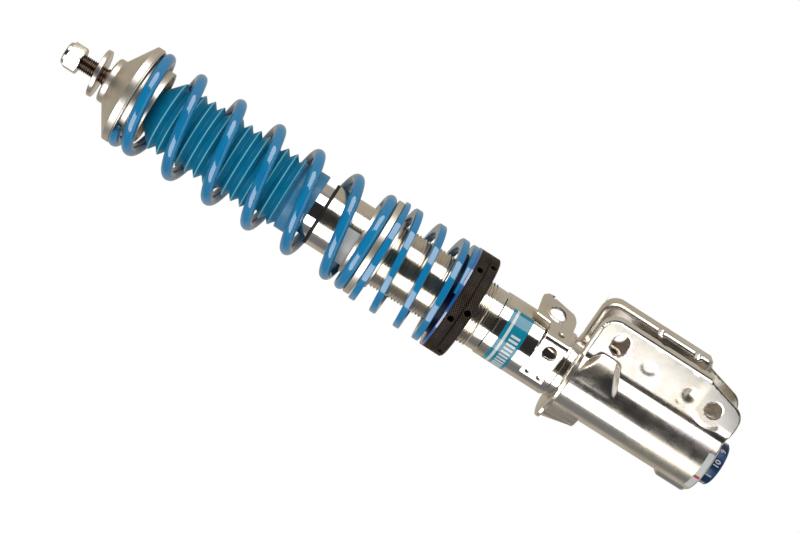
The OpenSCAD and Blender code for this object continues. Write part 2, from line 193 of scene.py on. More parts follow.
def surface(name, base, tint, rough, patch=55.0, grain=900.0, depth=0.01, turned=False,
            worn=None, **sockets):
    """A surface with cloudy colour between base and tint, uneven gloss and a fine grain.

    patch and grain are noise scales per metre; turned draws the grain out into rings.
    worn is a colour that shows on convex edges.
    """
    paint = Paint(name, **sockets)
    cloud = paint.span(paint.noise(patch, detail=3.0), 0.35, 0.65)
    fine = paint.noise(grain, paint.rings() if turned else None)
    colour = paint.mix(cloud, base, tint)
    if worn is not None:
        geometry = paint.nodes.new("ShaderNodeNewGeometry")
        edge = paint.span(geometry.outputs["Pointiness"], 0.53, 0.62)
        scuff = paint.times(edge, paint.span(paint.noise(400.0), 0.4, 0.6))
        colour = paint.mix(scuff, colour, worn)
    paint.colour(colour)
    paint.rough(paint.math("ADD", paint.times(cloud, 0.4), paint.times(fine, 0.6)), *rough)
    paint.normal(paint.bump(fine, depth))
    return paint.material


def zinc(name, rough, depth):
    """Bright zinc plating with the faint yellow and violet of its passivation."""
    paint = Paint(name, Metallic=1.0)
    cloud = paint.span(paint.noise(28.0, detail=3.0), 0.38, 0.62)
    violet = paint.span(paint.noise(19.0, paint.stretched(1, 1, 0.6), 2.0), 0.52, 0.7, 0, 0.55)
    silver = paint.mix(cloud, "e6e2dc", "d8cfbc")
    speck = paint.span(paint.noise(420.0, detail=2.0), 0.66, 0.74, 0.0, 0.5)
    silver = paint.mix(violet, silver, "c9bfd2")
    paint.colour(paint.mix(speck, silver, "b5ab9b"))
    fine = paint.noise(700.0, paint.stretched(1, 1, 0.25))
    paint.rough(paint.math("ADD", paint.times(fine, 0.5), paint.times(cloud, 0.5)), *rough)
    waves = paint.bump(paint.noise(60.0, detail=1.0), depth * 3)
    paint.normal(paint.bump(fine, depth, waves))
    return paint.material


def bellows_rubber():
    """Teal-blue rubber with a painted highlight along the crest of each fold; the smooth cuff at the
    foot is paler and duller.
    """
    paint = Paint("bellows_rubber", Specular_IOR_Level=0.35)
    low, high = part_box("bellows")
    cuff_z, rim = low.z + 20.5 * MM, high.x
    cuff = paint.span(paint.axes()[2], cuff_z - 0.2 * MM, cuff_z + 0.2 * MM, 1.0, 0.0)
    dust = paint.span(paint.noise(160.0), 0.45, 0.7)
    folds = paint.mix(dust, "006384", "00698b")
    # Painted highlight: a paler teal on the outermost radius of every fold, where the crests catch
    # the light.
    painted_crest_highlight = paint.span(paint.radius(), rim - 0.75 * MM, rim - 0.35 * MM, 0.0, 0.7)
    folds = paint.mix(painted_crest_highlight, folds, "6fbccd")
    plain = paint.mix(dust, "2c6a8c", "3a7595")
    paint.colour(paint.mix(cuff, folds, plain))
    paint.rough(paint.noise(300.0), 0.36, 0.48)
    paint.normal(paint.bump(paint.noise(1500.0), 0.01))
    return paint.material


def powder_coat():
    """Glossy blue powder coat with a faint orange peel."""
    paint = Paint("powder_coat_blue", Coat_Weight=1.0, Coat_Roughness=0.05, Coat_IOR=1.7,
                  Specular_IOR_Level=0.1)
    cloud = paint.span(paint.noise(40.0, detail=2.0), 0.35, 0.65)
    paint.colour(paint.mix(cloud, "006896", "026f9d"))
    paint.rough(paint.noise(250.0), 0.4, 0.5)
    peel = paint.bump(paint.noise(330.0, detail=2.0), 0.006)
    paint.normal(paint.bump(paint.noise(1800.0), 0.002, peel))
    return paint.material


KNURL_STARTS = 128    # grooves of each hand round a collar
KNURL_PITCH = 2.0     # distance between them along the axis


def knurled_black():
    """Black anodising, brown on the knurl's points: partly wear, partly a painted highlight of the
    points.
    """
    paint = Paint("anodised_black", Specular_IOR_Level=0.15)
    along = paint.times(paint.turn(), KNURL_STARTS / (2 * math.pi))
    across = paint.times(paint.axes()[2], 1 / (KNURL_PITCH * MM))
    sides = []
    for operation in ("ADD", "SUBTRACT"):
        share = paint.math("FRACT", paint.math(operation, along, across))
        sides.append(paint.math("ABSOLUTE", paint.math("SUBTRACT", share, 0.5)))
    groove = paint.math("MAXIMUM", *sides)
    # Brown on the knurl's points is partly wear and partly painted highlight that the points would
    # catch.
    worn = paint.times(paint.span(groove, 0.1, 0.4, 1.0, 0.0),
                       paint.span(paint.noise(120.0), 0.35, 0.6, 0.45, 1.0))
    paint.colour(paint.mix(worn, "030202", "52402f"))
    fine = paint.noise(1200.0)
    paint.rough(fine, 0.32, 0.46)
    paint.normal(paint.bump(fine, 0.004))
    return paint.material


def tube_label_film(low, top):
    """Printed teal film with one white line and a row of plain white blocks."""
    paint = Paint("teal_film", Specular_IOR_Level=0.1, Coat_Weight=1.0, Coat_Roughness=0.06)
    turn, z = paint.turn(), paint.axes()[2]

    def between(first, last):
        return paint.times(paint.math("GREATER_THAN", z, first * MM),
                           paint.math("LESS_THAN", z, last * MM))

    line = between(top - 4.9, top - 2.8)
    band = between(low + 2.2, low + 9.6)
    per_radian, share = 7.5, 0.55
    step = paint.math("FRACT", paint.times(turn, per_radian))
    block = paint.times(band, paint.math("LESS_THAN", step, share))
    block = paint.times(block, paint.math("LESS_THAN", turn, math.radians(NEAR + 3)))
    print_share = paint.math("MAXIMUM", line, block)
    cloud = paint.span(paint.noise(90.0), 0.35, 0.65)
    teal = paint.mix(cloud, "0a6c83", "0d7389")
    paint.colour(paint.mix(print_share, teal, "b8bab7"))
    paint.rough(paint.noise(500.0), 0.25, 0.36)
    paint.normal(paint.bump(paint.noise(700.0), 0.006))
    return paint.material


MATERIALS = {
    "turned_aluminium": surface("aluminium_turned", "dcd5ca", "cfc6b8", (0.32, 0.42),
                                grain=1500.0, depth=0.006, turned=True, Metallic=1.0),
    "plated_tube": zinc("zinc_tube", (0.1, 0.2), 0.003),
    "zinc_sheet": zinc("zinc_pressed", (0.17, 0.3), 0.004),
    "chrome": surface("hard_chrome", "dcdcde", "d2d1d2", (0.04, 0.09), grain=1400.0,
                      depth=0.001, turned=True, Metallic=1.0),
    "black_phosphate": surface("phosphate_black", "4a3a30", "5c4a3e", (0.3, 0.42),
                               grain=1600.0, worn="a89a8c", Metallic=1.0),
    "black_anodised": knurled_black(),
    # A darker copy of the blue anodising: painted shade for the perch's spigot, which sits in shadow.
    "blue_anodised_painted_shade": surface("anodised_blue_painted_shade", "030a26", "050e30", (0.3, 0.4), grain=1400.0,
                             depth=0.004, turned=True, Specular_IOR_Level=0.12),
    "blue_anodised": surface("anodised_blue", "07407c", "0b4a88", (0.3, 0.4), grain=1400.0,
                             depth=0.004, turned=True, Coat_Weight=1.0, Coat_IOR=1.8,
                             Coat_Roughness=0.06),
    "knob_blue": surface("anodised_navy", "042c52", "07345c", (0.22, 0.32), grain=1300.0,
                         depth=0.004, turned=True, Metallic=0.3),
    "blue_powder": powder_coat(),
    "blue_rubber": bellows_rubber(),
    "black_rubber": surface("rubber_black", "0c0c0c", "121212", (0.5, 0.7), grain=1500.0,
                            depth=0.02, Specular_IOR_Level=0.3),
    "black_plastic": surface("plastic_black", "151515", "1e1e1e", (0.45, 0.6), grain=1800.0),
    "white_label": surface("film_white", "b4b6b4", "aaacaa", (0.35, 0.5), depth=0.006),
    "dark_steel": surface("steel_dark", "4a4a4c", "5a5856", (0.3, 0.45), grain=1200.0,
                          Metallic=1.0),
    "plain_steel": surface("steel_plain", "b9b8b6", "a9a6a2", (0.2, 0.35), grain=1400.0,
                           depth=0.006, Metallic=1.0),
    "bronze": surface("bronze_machined", "b98a55", "a87b49", (0.25, 0.4), grain=1400.0,
                      depth=0.008, turned=True, Metallic=1.0),
    "yellow_foam": surface("foam_yellow", "cfb04c", "c2a243", (0.7, 0.85), grain=1600.0,
                           depth=0.08),
    "nylon": surface("nylon_natural", "b2b6ba", "a8adb2", (0.35, 0.5), depth=0.006,
                     Subsurface_Weight=0.1),
}
WHITE_PRINT = surface("print_white", "c4c5c4", "b8baba", (0.45, 0.6), grain=1500.0,
                      depth=0.004)
RED_PRINT = surface("print_red", "a3121c", "8e0e18", (0.4, 0.55), grain=1500.0, depth=0.004)


# ---------------------------------------------------------------- building blocks

def reach(node):
    """Radius, lowest and highest Z of a CAD node, in millimetres."""
    low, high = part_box(node)
    return high.x / MM, low.z / MM, high.z / MM


def polar(r, turn, z):
    return r * math.cos(turn), r * math.sin(turn), z


def add(name, data):
    """A new object in the scene."""
    added = bpy.data.objects.new(name, data)
    bpy.context.scene.collection.objects.link(added)
    return added


def build(name, verts, faces, material, sharp=35.0, weld=True):
    """A mesh object from millimetre points, with its normals out and its edges split by angle.

    material is a key of MATERIALS or a material.
    """
    mesh = bpy.data.meshes.new(name)
    mesh.from_pydata((np.asarray(verts, float) * MM).tolist(), [], faces)
    work = bmesh.new()
    work.from_mesh(mesh)
    if weld:
        bmesh.ops.remove_doubles(work, verts=work.verts, dist=0.002 * MM)
        bmesh.ops.dissolve_degenerate(work, edges=work.edges, dist=0.001 * MM)
    bmesh.ops.recalc_face_normals(work, faces=work.faces)
    work.to_mesh(mesh)
    work.free()
    piece = add(name, mesh)
    mesh.materials.append(MATERIALS[material] if isinstance(material, str) else material)
    smooth(piece, sharp)
    return piece


def smooth(piece, sharp=35.0):
    piece.data.shade_smooth()
    piece.data.set_sharp_from_angle(angle=math.radians(sharp))


def apply_modifiers(piece, sharp=35.0):
    """Puts the piece's modifiers into its mesh."""
    graph = bpy.context.evaluated_depsgraph_get()
    mesh = bpy.data.meshes.new_from_object(piece.evaluated_get(graph))
    piece.modifiers.clear()
    piece.data = mesh
    smooth(piece, sharp)


def bevel(piece, width, angle=50.0, segments=2):
    edge = piece.modifiers.new("edge", "BEVEL")
    edge.width = width * MM
    edge.segments = segments
    edge.limit_method = "ANGLE"
    edge.angle_limit = math.radians(angle)
    apply_modifiers(piece)


def combine(piece, other, operation):
    """Boolean of two pieces; the other one is used up."""
    step = piece.modifiers.new("boolean", "BOOLEAN")
    step.object = other
    step.operation = operation
    step.solver = "EXACT"
    apply_modifiers(piece)
    bpy.data.objects.remove(other)


def fit(piece, body, slot, *stands_for):
    """The piece rides on a body and takes the place of CAD nodes."""
    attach(piece, body)
    if stands_for:
        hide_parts(*stands_for)
    return piece


def rounded(outline, steps=5):
    """A closed outline with its corners rounded; a corner is (r, z) or (r, z, radius)."""
    points = []
    for i, corner in enumerate(outline):
        here = Vector(corner[:2])
        if len(corner) < 3:
            points.append(here)
            continue
        back = Vector(outline[i - 1][:2]) - here
        on = Vector(outline[(i + 1) % len(outline)][:2]) - here
        half = back.angle(on) / 2
        cut = min(corner[2] / math.tan(half), 0.48 * back.length, 0.48 * on.length)
        radius = cut * math.tan(half)
        back.normalize()
        on.normalize()
        centre = here + (back + on).normalized() * (radius / math.sin(half))
        start = here + back * cut - centre
        end = here + on * cut - centre
        first = math.atan2(start.y, start.x)
        turn = (math.atan2(end.y, end.x) - first + math.pi) % (2 * math.pi) - math.pi
        points += [centre + Vector((math.cos(first + turn * k / steps),
                                    math.sin(first + turn * k / steps))) * radius
                   for k in range(steps + 1)]
    return points


def grid_faces(rows, columns, close_rows=True):
    """Quads of a grid whose point (i, j) has index i * columns + j."""
    faces = []
    for i in range(rows if close_rows else rows - 1):
        for j in range(columns):
            a, b = i * columns, ((i + 1) % rows) * columns
            k = (j + 1) % columns
            faces.append((a + j, b + j, b + k, a + k))
    return faces


def tube_faces(rings, sides):
    """Faces of a tube made of rings of points, with both its ends closed."""
    last = (rings - 1) * sides
    return grid_faces(rings, sides, close_rows=False) + [
        tuple(range(sides)), tuple(last + k for k in reversed(range(sides)))]


def turned(name, outline, material, segments=160, relief=None, sharp=35.0):
    """A piece turned about Z from a closed outline; relief(turn, r, z) moves its skin out."""
    points = rounded(outline)
    verts = []
    for p in points:
        for j in range(segments):
            turn = 2 * math.pi * j / segments
            r = p.x + (relief(turn, p.x, p.y) if relief else 0)
            verts.append(polar(r, turn, p.y))
    return build(name, verts, grid_faces(len(points), segments), material, sharp)


def lathe(name, outline, body, slot, *stands_for, **shape):
    """A turned piece in its slot's own material, riding on a body."""
    return fit(turned(name, outline, slot, **shape), body, slot, *stands_for)


def patch(name, r_in, thick, low, top, first, last, material, round_ends=0.0):
    """A thin film on a cylinder, between two directions in degrees."""
    columns = max(8, int(abs(last - first) * 1.5))
    verts = []
    for i in range(columns + 1):
        share = i / columns
        along = min(share, 1 - share) * abs(math.radians(last - first)) * r_in
        inset = 0.0
        if along < round_ends:
            inset = round_ends - math.sqrt(round_ends ** 2 - (round_ends - along) ** 2)
        a = math.radians(first + (last - first) * share)
        for r, z in ((r_in, low + inset), (r_in + thick, low + inset),
                     (r_in + thick, top - inset), (r_in, top - inset)):
            verts.append(polar(r, a, z))
    return build(name, verts, tube_faces(columns + 1, 4), material)


def thread(name, r_in, r_major, r_minor, pitch, low, top, segments, material):
    """A tube with a right-handed thread cut in it, closed by a plain bore."""
    profile = ((0.0, r_minor), (0.12, r_minor), (0.42, r_major), (0.58, r_major),
               (0.88, r_minor))
    turns = int((top - low) / pitch) + 1
    phases = [(k + share, r) for k in range(-1, turns + 1) for share, r in profile]
    verts = []
    for j in range(segments + 1):
        a = 2 * math.pi * j / segments
        shift = j / segments
        column = [(r_in, top)]
        for phase, r in phases:
            z = top - (phase - shift) * pitch
            held = min(max(z, low), top)
            fade = min(1.0, (top - held) / pitch, (held - low) / pitch)
            column.append((r_minor + (r - r_minor) * fade, held))
        column.append((r_in, low))
        verts += [polar(r, a, z) for r, z in column]
    faces = grid_faces(segments + 1, len(column), close_rows=False)
    return build(name, verts, faces, material, sharp=50.0)


def ramp(t, first, last):
    """Turns run at full pitch by t, where the pitch grows from nothing between first and last."""
    if t <= first:
        return 0.0
    if t >= last:
        return t - (first + last) / 2
    return (t - first) ** 2 / (2 * (last - first))


GRIND_TURNS = 0.41    # turns over which a spring's end is ground
TIP_SCALE = 0.86      # size of a wire's end face against its section
TIP_LENGTH = 0.5      # length over which the wire narrows to it


def coil(name, node, mean_r, section, z_start, t_from, t_to, start, pitch, opening, closing,
         squeeze, grind, steps=96):
    """A wound spring between perch and upper half; a share of the stroke is worked out for each ring
    but not put on the mesh.

    t counts turns from the top. The pitch opens and closes between the two given pairs of t.
    squeeze gives the stroke's share at the upper and lower end, and the turns between which
    the coils close up. The end turns keep their shape. The tips are bent towards their seats
    and ground flat, which takes grind off their height.
    """
    def ground(turns):
        return grind * max(0.0, 1 - turns / GRIND_TURNS) ** 2

    def centre(t):
        return z_start - pitch * (ramp(t, *opening) - ramp(t, *closing))

    half = max(up for _, up in section)
    z_high, z_low = z_start + half, centre(t_to) - half
    rings = int((t_to - t_from) * steps)
    verts, weights = [], []
    top_share, low_share, ease_in, ease_out = squeeze
    full = ramp(t_to, *ease_in) - ramp(t_to, *ease_out)
    for i in range(-1, rings + 2):
        t = t_from + (t_to - t_from) * min(max(i, 0), rings) / rings
        tip = {-1: 1, rings + 1: -1}.get(i, 0)
        scale = TIP_SCALE if tip else 1.0
        a = math.radians(start - 360 * t) + tip * TIP_LENGTH / mean_r
        z = centre(t) + ground(t - t_from) - ground(t_to - t)
        closed = (ramp(t, *ease_in) - ramp(t, *ease_out)) / full
        for across, up in section:
            r = mean_r + across * scale
            level = min(max(z + up * scale, z_low), z_high)
            verts.append(polar(r, a, level))
            weights.append(top_share + (low_share - top_share) * closed)
    faces = tube_faces(rings + 3, len(section))
    piece = build(name, verts, faces, "blue_powder", weld=False, sharp=40.0)
    stretch(piece, node)


def stretch(piece, stands_for):
    """Puts the piece's transform into its mesh and hides the CAD node it stands for."""
    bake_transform(piece)
    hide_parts(stands_for)


def inside(points, loop):
    """Which of the points lie inside a closed loop."""
    x, y = points[:, 0], points[:, 1]
    hit = np.zeros(len(points), bool)
    for (x0, y0), (x1, y1) in zip(loop, np.roll(loop, -1, 0)):
        if y0 == y1:
            continue
        crosses = (y0 > y) != (y1 > y)
        hit ^= crosses & (x < (x1 - x0) * (y - y0) / (y1 - y0) + x0)
    return hit


def resampled(loop, step):
    """A closed loop with points no further apart than step."""
    points = []
    for a, b in zip(loop, loop[1:] + loop[:1]):
        count = max(1, math.ceil(math.dist(a, b) / step))
        points += [(a[0] + (b[0] - a[0]) * k / count, a[1] + (b[1] - a[1]) * k / count)
                   for k in range(count)]
    return points


def circle(x, y, r, first=0.0, last=360.0, count=40):
    """Points of an arc; a full circle leaves out its last point."""
    full = abs(last - first) >= 360
    spots = count if full else count + 1
    return [(x + r * math.cos(math.radians(first + (last - first) * k / count)),
             y + r * math.sin(math.radians(first + (last - first) * k / count)))
            for k in range(spots)]


def sheet_metal(name, outer, holes, place, thick, step, material, edge=0.35):
    """Pressed sheet: a flat pattern with holes, laid in space by place(s, z)."""
    loops = [resampled(loop, step) for loop in [outer] + holes]
    points, edges = [], []
    for loop in loops:
        first = len(points)
        points += loop
        edges += [(first + k, first + (k + 1) % len(loop)) for k in range(len(loop))]
    tree = kdtree.KDTree(len(points))
    for k, p in enumerate(points):
        tree.insert((p[0], p[1], 0), k)
    tree.balance()
    loops = [np.array(loop) for loop in loops]
    low, high = loops[0].min(0), loops[0].max(0)
    row = step * math.sqrt(3) / 2
    spots = [(low[0] + (i + 0.5 * (j % 2)) * step, low[1] + j * row)
             for j in range(int((high[1] - low[1]) / row) + 1)
             for i in range(int((high[0] - low[0]) / step) + 1)]
    spots = [p for p in spots if tree.find((p[0], p[1], 0))[2] > 0.6 * step]
    points += [tuple(p) for p in np.array(spots)[inside(np.array(spots), loops[0])]]
    flat, _, faces, *_ = delaunay_2d_cdt([Vector(p) for p in points], edges, [], 0, 1e-6)
    flat = np.array([tuple(p) for p in flat])
    faces = np.array([tuple(f) for f in faces])
    middles = flat[faces].mean(1)
    keep = inside(middles, loops[0])
    for loop in loops[1:]:
        keep &= ~inside(middles, loop)
    verts = [place(s, z) for s, z in flat]
    piece = build(name, verts, faces[keep].tolist(), material)
    skin = piece.modifiers.new("skin", "SOLIDIFY")
    skin.thickness = thick * MM
    skin.offset = 0.0
    skin.use_even_offset = True
    apply_modifiers(piece)
    bevel(piece, edge, angle=55.0)
    return piece


def step_up(x, low, high):
    """Smooth step from 0 at low to 1 at high."""
    t = min(max((x - low) / (high - low), 0.0), 1.0)
    return t * t * (3 - 2 * t)


def mixed(a, b, share):
    return tuple(p + (q - p) * share for p, q in zip(a, b))


# ---------------------------------------------------------------- top mounting and spring plate

def make_top():
    rim, skirt_low, _ = reach("spring_plate")
    seat = -24.3
    lathe("spring_plate_turned", [
        (6.3, -12), (6.3, 0, 0.6), (17.3, 0, 2.0), (17.3, -5.1, 1.6), (rim, -18.3, 0.8),
        (rim, seat + 1.1, 0.5), (rim - 0.9, seat + 0.7, 0.2), (rim - 0.9, seat, 0.3),
        (29.8, seat, 0.6), (29.5, seat - 4.2, 0.8), (28.1, seat - 5, 0.4),
        (28.1, skirt_low, 0.5), (25.1, skirt_low, 0.5), (25.1, seat - 4, 1.0),
        (12, -14), (12, -12)], UPPER, "turned_aluminium", "spring_plate", segments=192)

    cap_r, cap_low, tip = reach("top_stud")
    stud = thread("stud_thread", 1.0, 6.0, 5.15, 1.5, 1.2, tip - 0.8, 72,
                  "black_phosphate")
    fit(stud, UPPER, "black_phosphate", "top_stud")
    cap_top = cap_low + 12.5
    lathe("stud_core", [
        (0, cap_low + 8), (2.5, cap_low + 8), (2.5, cap_low), (17.9, cap_low, 0.5),
        (17.9, cap_top - 2.5), (cap_r, cap_top - 2.5), (cap_r, cap_top - 1.5, 0.3),
        (cap_r - 1.5, cap_top, 0.3), (9, cap_top, 1.0), (9, -12.1, 0.4), (6.0, -12.1), (6.0, 0.6),
        (6.45, 0.9, 0.3), (6.45, 2.6, 0.4), (5.2, 3.2), (5.0, tip, 0.6), (0, tip)],
        UPPER, "black_phosphate", segments=64)

    washer = turned("washer_plate", [
        (6.65, -1.7, 0.4), (18, -1.7, 0.7), (18, 1.7, 0.7), (6.65, 1.7, 0.4)],
        "zinc_sheet", segments=128)
    lean = math.radians(-4.3)
    tilt = Matrix.Rotation(math.radians(90 + NEAR), 4, "Z") @ Matrix.Rotation(lean, 4, "Y")
    low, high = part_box("top_washer")
    washer.data.transform(Matrix.Translation((0, 0, (low.z + high.z) / 2)) @ tilt)
    fit(washer, "top_washer", "zinc_sheet", "top_washer")


def make_nut():
    _, low, top = reach("top_nut")
    hex_top, face_r, hole_r = low + 10.5, 9.3, 6.1
    corner_r = 19 / math.cos(math.radians(30)) / 2
    ring = circle(0, 0, corner_r, 55, 415, 6)
    verts = [(x, y, z) for z in (low, hex_top) for x, y in ring]
    nut = build("nut_body", verts, tube_faces(2, 6), "zinc_sheet")
    corners = turned("nut_chamfer", [
        (0, low), (face_r, low), (corner_r + 0.1, low + 1.0), (corner_r + 0.1, hex_top - 1.0),
        (face_r, hex_top), (0, hex_top)], "zinc_sheet", segments=96)
    combine(nut, corners, "INTERSECT")
    bore = turned("nut_bore", [(0, low - 1), (6.9, low - 0.01), (hole_r, low + 0.9),
                               (hole_r, hex_top + 1), (0, hex_top + 1)],
                  "zinc_sheet", segments=64)
    combine(nut, bore, "DIFFERENCE")
    bevel(nut, 0.18, angle=25.0)
    fit(nut, "top_nut", "zinc_sheet", "top_nut")
    lathe("nut_collar", [
        (8.1, hex_top - 0.6), (8.6, hex_top - 0.4), (8.6, top - 1.2, 0.8), (7.8, top, 0.8),
        (6.9, top - 0.2, 0.3), (6.9, top - 0.9), (8.0, top - 1.2), (8.0, hex_top)],
        "top_nut", "zinc_sheet", segments=96)
    in_r, in_low, in_top = reach("nut_insert")
    lathe("nylon_ring", [
        (6.06, in_low, 0.3), (in_r, in_low, 0.3), (in_r, in_top, 0.3), (6.06, in_top, 0.5)],
        "nut_carrier", "nylon", "nut_insert", segments=96)


# ---------------------------------------------------------------- springs and bellows

def make_springs():
    wire = 4.25
    outer, _, top = reach("main_spring")
    section = [(wire * math.cos(2 * math.pi * k / 24), wire * math.sin(2 * math.pi * k / 24))
               for k in range(24)]
    coil("main_coil", "main_spring", outer - wire, section, top - wire, t_from=-0.11,
         t_to=7.34, start=270 + NEAR, pitch=32.67, opening=(0.4, 0.98), closing=(6.08, 6.66),
         squeeze=(1.0, 0.3, (0.7, 1.3), (5.8, 6.4)), grind=3.8)

    outer, top = 39.9, reach("helper_spring")[2]
    wide, high, corner = 4.0, 2.6, 0.9
    section = [tuple(p) for p in rounded([
        (wide, high, corner), (-wide, high, corner), (-wide, -high, corner),
        (wide, -high, corner)], steps=4)]
    coil("helper_coil", "helper_spring", outer - wide, section, top - 2.65, t_from=-0.12,
         t_to=4.236, start=90 + NEAR, pitch=19.8, opening=(0.28, 0.88), closing=(2.81, 4.01),
         squeeze=(0.3, 0.0, (0.55, 1.0), (3.0, 3.6)), grind=3.3)


def make_bellows():
    _, low, top = reach("bellows")
    peak, valley, wall, pitch, first, folds = 27.2, 22.2, 1.2, 7.63, -49.1, 14
    stem_bore, stem_r, cuff_bore, cuff_r = 9.05, 10.6, 24.5, 25.5
    cuff_top = first - (folds - 0.4) * pitch
    outline = [(stem_bore, top), (stem_r, top, 0.4), (stem_r, top - 4, 1.0)]
    for i in range(folds):
        z = first - i * pitch
        outline += [(peak, z, 0.45), (valley, z - pitch / 2, 0.35)]
    outline += [(cuff_r, cuff_top, 0.8), (cuff_r, low, 0.4), (cuff_bore, low, 0.4),
                (cuff_bore, cuff_top - 0.8, 0.4)]
    for i in reversed(range(folds)):
        z = first - i * pitch
        outline += [(valley - wall, z - pitch / 2, 0.4), (peak - wall, z, 0.3)]
    outline += [(stem_bore, top - 4)]

    def uneven(turn, r, z):
        where = Vector((1.6 * math.cos(turn), 1.6 * math.sin(turn), z * 0.11))
        return 0.06 * noise.noise(where)

    piece = turned("bellows_boot", outline, "blue_rubber", segments=128,
                   relief=uneven, sharp=60.0)
    stretch(piece, "bellows")


# ---------------------------------------------------------------- damper body and housing

def make_tubes():
    body_r, low, top = reach("damper_tube")
    lathe("body_tube", [(18, low + 0.3), (18.4, low, 0.3), (body_r, low, 0.5), (body_r, top),
                        (18, top)], UPPER, "chrome", "damper_tube")

    wiper_r, _, wiper_top = reach("wiper_seal")
    lathe("wiper_ring", [
        (20.05, wiper_top - 0.3), (20.6, wiper_top, 0.2), (wiper_r - 0.5, wiper_top, 0.4),
        (wiper_r, wiper_top - 1.0, 0.4), (wiper_r - 0.1, wiper_top - 2.1, 0.2),
        (21.5, wiper_top - 2.1), (21.5, wiper_top - 7), (20.05, wiper_top - 7)],
        HOUSING, "black_rubber", "wiper_seal", segments=128)

    tube_r, foot, neck_top = reach("strut_tube")
    bore, thread_top, thread_low = 21.5, -224.0, -313.4
    lathe("housing_neck", [
        (bore, thread_top - 0.5), (24.2, thread_top - 0.5), (NECK_R, thread_top + 0.8),
        (NECK_R, neck_top, 0.5), (bore, neck_top, 0.3)], HOUSING, "plated_tube", "strut_tube")
    cut = thread("housing_thread", bore, tube_r, tube_r - 1.0, 2.5, thread_low, thread_top,
                 144, "plated_tube")
    fit(cut, HOUSING, "plated_tube")
    relief, foot_r, line = tube_r - 0.9, 23.98, -321.8
    lathe("housing_foot", [
        (bore, thread_low), (relief, thread_low), (relief, thread_low - 6, 0.5),
        (tube_r, thread_low - 6.9, 0.4), (tube_r, line + 0.35), (tube_r - 0.35, line + 0.15),
        (tube_r - 0.35, line - 0.15), (tube_r, line - 0.35), (tube_r, -376.3, 0.3),
        (foot_r, -377.2), (foot_r, foot, 0.4), (bore, foot, 0.4)], HOUSING, "plated_tube")


def make_labels():
    _, low, top = reach("tube_label")
    film = tube_label_film(low, top)
    label = patch("wrap_label", 25.0, FILM, low, top, NEAR - 180, NEAR + 42, film)
    fit(label, HOUSING, "teal_label", "tube_label")
    _, low, top = reach("housing_label")
    blank = patch("neck_label", NECK_R, FILM, low, top, NEAR - 78, NEAR + 6, "white_label",
                  round_ends=1.0)
    fit(blank, HOUSING, "white_label", "housing_label")
    wrap_r = 26.45
    _, low, top = reach("indicator_strip")
    strip = patch("strip_base", wrap_r + 0.02, FILM, low, top, NEAR - 66, NEAR + 10.4,
                  "white_label", round_ends=1.0)
    fit(strip, HOUSING, "white_label", "indicator_strip")
    mark = patch("strip_mark", wrap_r + 0.1, 0.16, low + 0.2, top - 0.2, NEAR - 36.4,
                 NEAR - 31.6, RED_PRINT)
    fit(mark, HOUSING, "white_label")


# ---------------------------------------------------------------- divider, perch and collars

def make_seats():
    rim, low, top = reach("divider_ring")
    bore, pilot, face = RING_BORE, 27.5, -218.6
    lathe("divider_turned", [
        (bore, low, 0.4), (pilot, low, 0.5), (pilot + 0.4, face - 5, 0.6),
        (rim, face - 5, 0.7), (rim, face, 0.7), (pilot + 0.4, face, 0.6),
        (pilot, top, 0.5), (bore, top, 0.4)], "divider", "turned_aluminium", "divider_ring",
        segments=192)

    rim, low, top = reach("spring_perch")
    face, seam = -285.05, -287.0
    perch = turned("perch_ring", [
        (bore, low), (34, low), (34, seam), (rim, seam, 0.15), (rim, face, 0.45),
        (bore, face)], "blue_anodised", segments=192)
    # The spigot's darker anodising is painted shade.
    spigot = turned("perch_spigot", [
        (bore, face - 0.3), (31, face - 0.3), (31, top, 0.6), (bore, top, 0.4)],
        "blue_anodised_painted_shade", segments=192)
    fit(spigot, PERCH, "blue_anodised")
    fit(perch, PERCH, "blue_anodised", "spring_perch")


def knurl(low, high, face):
    """Relief of a diamond knurl on the outer face between two heights."""
    depth = 0.45

    def relief(turn, r, z):
        if abs(r - face) > 0.01 or not low < z < high:
            return 0.0
        along, across = KNURL_STARTS * turn / (2 * math.pi), z / KNURL_PITCH
        groove = max(abs((along + across) % 1 - 0.5), abs((along - across) % 1 - 0.5))
        return -depth * groove * 2
    return relief


def make_collars():
    bore = RING_BORE
    for node, first, lower_chamfer in (("adjuster_collar", NEAR - 19.5, 0.35),
                                       ("lock_ring", NEAR - 6.0, 1.3)):
        rim, low, top = reach(node)
        rows = 24
        side = [(rim, low + lower_chamfer + (top - 0.4 - low - lower_chamfer) * k / rows)
                for k in range(rows + 1)]
        ring = turned(node + "_knurled", [
            (bore, low, 0.3), (rim - lower_chamfer, low, 0.2)] + side + [
            (rim - 0.4, top, 0.1), (bore, top, 0.3)], "black_anodised",
            segments=6 * KNURL_STARTS, relief=knurl(low + lower_chamfer + 0.2, top - 0.6, rim),
            sharp=55.0)
        middle = (low + top) / 2
        for k in range(6):
            drill_hole(ring, rim, math.radians(first + 60 * k), middle, radius=2.35,
                       depth=7.0)
        fit(ring, node, "black_anodised", node)


def drill_hole(piece, rim, turn, z, radius, depth):
    """Cuts a blind radial hole into a ring."""
    count = 28
    verts = []
    for r, size in ((rim - depth, radius), (rim - 0.5, radius), (rim + 0.6, radius + 0.5)):
        for k in range(count):
            a = 2 * math.pi * k / count
            side, up = size * math.cos(a), size * math.sin(a)
            verts.append((r * math.cos(turn) - side * math.sin(turn),
                          r * math.sin(turn) + side * math.cos(turn), z + up))
    combine(piece, build("drill", verts, tube_faces(3, count), piece.data.materials[0]),
            "DIFFERENCE")


# ---------------------------------------------------------------- knuckle bracket

